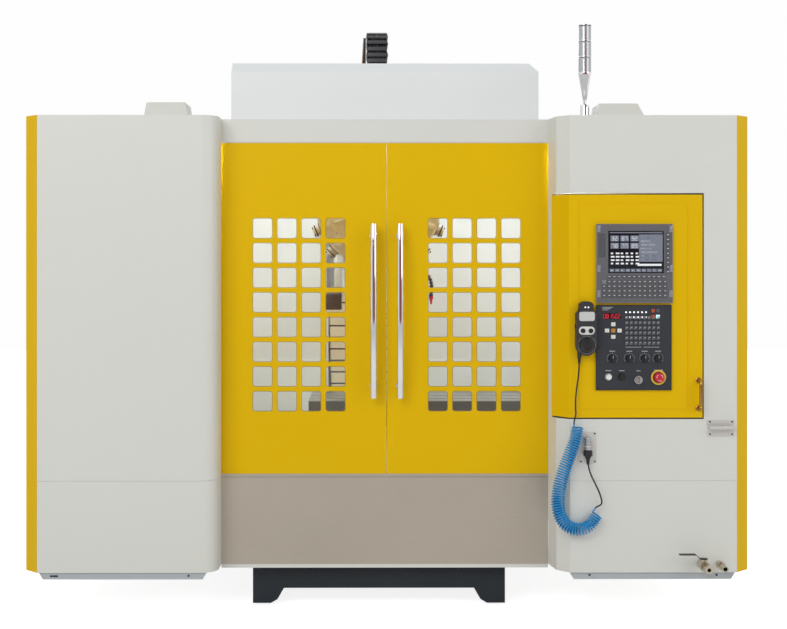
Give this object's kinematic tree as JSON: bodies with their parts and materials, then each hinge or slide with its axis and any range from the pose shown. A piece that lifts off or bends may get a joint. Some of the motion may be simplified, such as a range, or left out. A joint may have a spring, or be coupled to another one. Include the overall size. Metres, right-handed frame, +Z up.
{
  "type": "cnc machining center",
  "caption": "Enclosed vertical machining center with sliding windowed front doors, swing-out operator console, hand pendant, moving table, head and tool magazine.",
  "frame": {"origin": "on the floor, at the middle of the footprint of the machine without its free cord", "axes": "+X to the operator's right along the front, +Y to the rear, +Z up"},
  "size_m": [2.79, 2.31, 2.475],
  "materials": {
    "white_paint": "textured white powder coat",
    "hood_paint": "smooth bluish white powder coat",
    "yellow_paint": "fine textured golden yellow powder coat",
    "stainless": "brushed stainless sheet",
    "bed_iron": "dark painted casting",
    "light_iron": "light painted casting",
    "ground_iron": "ground and milled faces",
    "steel": "hardened and ground steel",
    "chrome": "polished chrome",
    "black_motor": "satin black motor paint",
    "chain_plastic": "black ribbed chain plastic",
    "safety_glass": "clear laminated safety glass",
    "bezel_gray": "dark gray bezel with a black screen",
    "panel_gray": "dark gray membrane panel with light keys",
    "knob_black": "black satin plastic",
    "button_white": "white plastic",
    "estop_red": "red plastic mushroom",
    "pendant_black": "black textured plastic",
    "cord_black": "black cord jacket",
    "cord_blue": "blue coiled cord jacket",
    "valve_brass": "nickel plated and bare brass",
    "tower_silver": "silver lamp tower",
    "cabinet_gray": "light gray powder coat",
    "tank_gray": "gray painted sheet"
  },
  "bodies": {
    "frame": {"bed_casting": "bed_iron", "leveling_feet": "steel", "column_casting": "light_iron", "linear_rails": "steel", "feed_motors": "black_motor", "magazine_bracket": "light_iron", "splash_guards": "white_paint", "enclosure_frame": "white_paint", "left_wing_panel": "white_paint", "right_wing_panel": "white_paint", "skirt_panels": "white_paint", "corner_trims": "yellow_paint", "header_panel": "white_paint", "apron_panel": "stainless", "enclosure_panels": "white_paint", "top_hood": "hood_paint", "y_way_covers": "stainless", "z_way_cover": "stainless", "z_cable_chain": "chain_plastic", "cord_coil": "cord_blue", "cord_bottom": "cord_black", "cord_plug": "knob_black", "wall_fittings": "stainless", "coolant_fittings": "valve_brass", "signal_tower": "tower_silver", "electrical_cabinet": "cabinet_gray", "coolant_tank": "tank_gray"},
    "saddle": {"saddle_casting": "light_iron", "x_way_covers": "stainless"},
    "table": {"work_table": "ground_iron"},
    "head": {"head_casting": "light_iron"},
    "spindle": {"spindle_shaft": "steel"},
    "x_screw": {"x_ball_screw": "steel"},
    "y_screw": {"y_ball_screw": "steel"},
    "z_screw": {"z_ball_screw": "steel"},
    "magazine": {"magazine_disc": "white_paint"},
    "left_door_leaf": {"left_door": "yellow_paint", "left_door_glass": "safety_glass", "left_door_handle": "chrome"},
    "right_door_leaf": {"right_door": "yellow_paint", "right_door_glass": "safety_glass", "right_door_handle": "chrome"},
    "console": {"console_door": "yellow_paint", "display_unit": "bezel_gray", "operator_panel": "panel_gray", "pendant_body": "pendant_black", "cord_top": "cord_black"},
    "estop": {"estop_button": "estop_red"},
    "mode_dial": {"mode_knob": "knob_black"},
    "feed_dial": {"feed_knob": "knob_black"},
    "rapid_dial": {"rapid_knob": "knob_black"},
    "spindle_dial": {"spindle_knob": "knob_black"},
    "start_cap": {"start_button": "button_white"},
    "hold_cap": {"hold_button": "knob_black"},
    "key": {"key_switch": "steel"},
    "wheel": {"handwheel": "knob_black"},
    "axis_dial": {"axis_selector": "knob_black"},
    "step_dial": {"step_selector": "knob_black"},
    "lever": {"valve_lever": "knob_black"},
    "cabinet_leaf": {"cabinet_door": "cabinet_gray"}
  },
  "joints": [
    {"name": "left_door_slide", "type": "slide", "parent": "frame", "child": "left_door_leaf", "axis": [-1, 0, 0], "range_m": [0, 0.54]},
    {"name": "right_door_slide", "type": "slide", "parent": "frame", "child": "right_door_leaf", "axis": [1, 0, 0], "range_m": [0, 0.54]},
    {"name": "saddle_slide", "type": "slide", "parent": "frame", "child": "saddle", "axis": [0, 1, 0], "range_m": [-0.225, 0.225], "deforming": ["y_way_covers"]},
    {"name": "table_slide", "type": "slide", "parent": "saddle", "child": "table", "axis": [1, 0, 0], "range_m": [-0.885, 0.215], "deforming": ["x_way_covers"]},
    {"name": "head_slide", "type": "slide", "parent": "frame", "child": "head", "axis": [0, 0, 1], "range_m": [-0.2, 0.15], "deforming": ["z_way_cover", "z_cable_chain"]},
    {"name": "spindle_spin", "type": "hinge", "parent": "head", "child": "spindle", "pos_m": [-0.03, -0.317, 1.3], "axis": [0, 0, 1], "continuous": true},
    {"name": "x_screw_spin", "type": "hinge", "parent": "saddle", "child": "x_screw", "pos_m": [-0.03, -0.317, 0.604], "axis": [1, 0, 0], "continuous": true},
    {"name": "y_screw_spin", "type": "hinge", "parent": "frame", "child": "y_screw", "pos_m": [-0.03, -0.317, 0.44], "axis": [0, 1, 0], "continuous": true},
    {"name": "z_screw_spin", "type": "hinge", "parent": "frame", "child": "z_screw", "pos_m": [-0.03, 0.257, 1.3], "axis": [0, 0, 1], "continuous": true},
    {"name": "magazine_spin", "type": "hinge", "parent": "frame", "child": "magazine", "pos_m": [-0.03, -0.58, 1.61], "axis": [0, 1, 0], "continuous": true},
    {"name": "console_hinge", "type": "hinge", "parent": "frame", "child": "console", "pos_m": [0.64, -0.955, 1.2], "axis": [0, 0, -1], "range_deg": [0, 100]},
    {"name": "estop_press", "type": "slide", "parent": "console", "child": "estop", "axis": [0, 1, 0], "range_m": [0, 0.005]},
    {"name": "mode_knob_turn", "type": "hinge", "parent": "console", "child": "mode_dial", "pos_m": [0.8596, -1.045, 1.0035], "axis": [0, -1, 0], "range_deg": [-135, 135]},
    {"name": "feed_knob_turn", "type": "hinge", "parent": "console", "child": "feed_dial", "pos_m": [0.9247, -1.045, 1.0035], "axis": [0, -1, 0], "range_deg": [-135, 135]},
    {"name": "rapid_knob_turn", "type": "hinge", "parent": "console", "child": "rapid_dial", "pos_m": [0.9837, -1.045, 1.0035], "axis": [0, -1, 0], "range_deg": [-135, 135]},
    {"name": "spindle_knob_turn", "type": "hinge", "parent": "console", "child": "spindle_dial", "pos_m": [1.0346, -1.045, 1.0035], "axis": [0, -1, 0], "range_deg": [-135, 135]},
    {"name": "start_button_press", "type": "slide", "parent": "console", "child": "start_cap", "axis": [0, 1, 0], "range_m": [0, 0.003], "stiffness_N_per_m": 500, "springref_m": -0.002},
    {"name": "hold_button_press", "type": "slide", "parent": "console", "child": "hold_cap", "axis": [0, 1, 0], "range_m": [0, 0.003], "stiffness_N_per_m": 500, "springref_m": -0.002},
    {"name": "key_switch_turn", "type": "hinge", "parent": "console", "child": "key", "pos_m": [0.9596, -1.045, 0.921], "axis": [0, -1, 0], "range_deg": [0, 90]},
    {"name": "handwheel_spin", "type": "hinge", "parent": "console", "child": "wheel", "pos_m": [0.756, -1.075, 1.057], "axis": [0, -1, 0], "continuous": true},
    {"name": "axis_selector_turn", "type": "hinge", "parent": "console", "child": "axis_dial", "pos_m": [0.741, -1.075, 1.111], "axis": [0, -1, 0], "range_deg": [-60, 60]},
    {"name": "step_selector_turn", "type": "hinge", "parent": "console", "child": "step_dial", "pos_m": [0.771, -1.075, 1.111], "axis": [0, -1, 0], "range_deg": [-60, 60]},
    {"name": "valve_lever_turn", "type": "hinge", "parent": "frame", "child": "lever", "pos_m": [1.198, -1.083, 0.248], "axis": [0, 0, 1], "range_deg": [0, 90]},
    {"name": "cabinet_door_hinge", "type": "hinge", "parent": "frame", "child": "cabinet_leaf", "pos_m": [-0.43, 1.11, 1.185], "axis": [0, 0, 1], "range_deg": [0, 120]}
  ],
  "couplings": [
    {"joint": "x_screw_spin", "follows": "table_slide", "rad_per_m": 392.7},
    {"joint": "y_screw_spin", "follows": "saddle_slide", "rad_per_m": 392.7},
    {"joint": "z_screw_spin", "follows": "head_slide", "rad_per_m": 392.7}
  ]
}
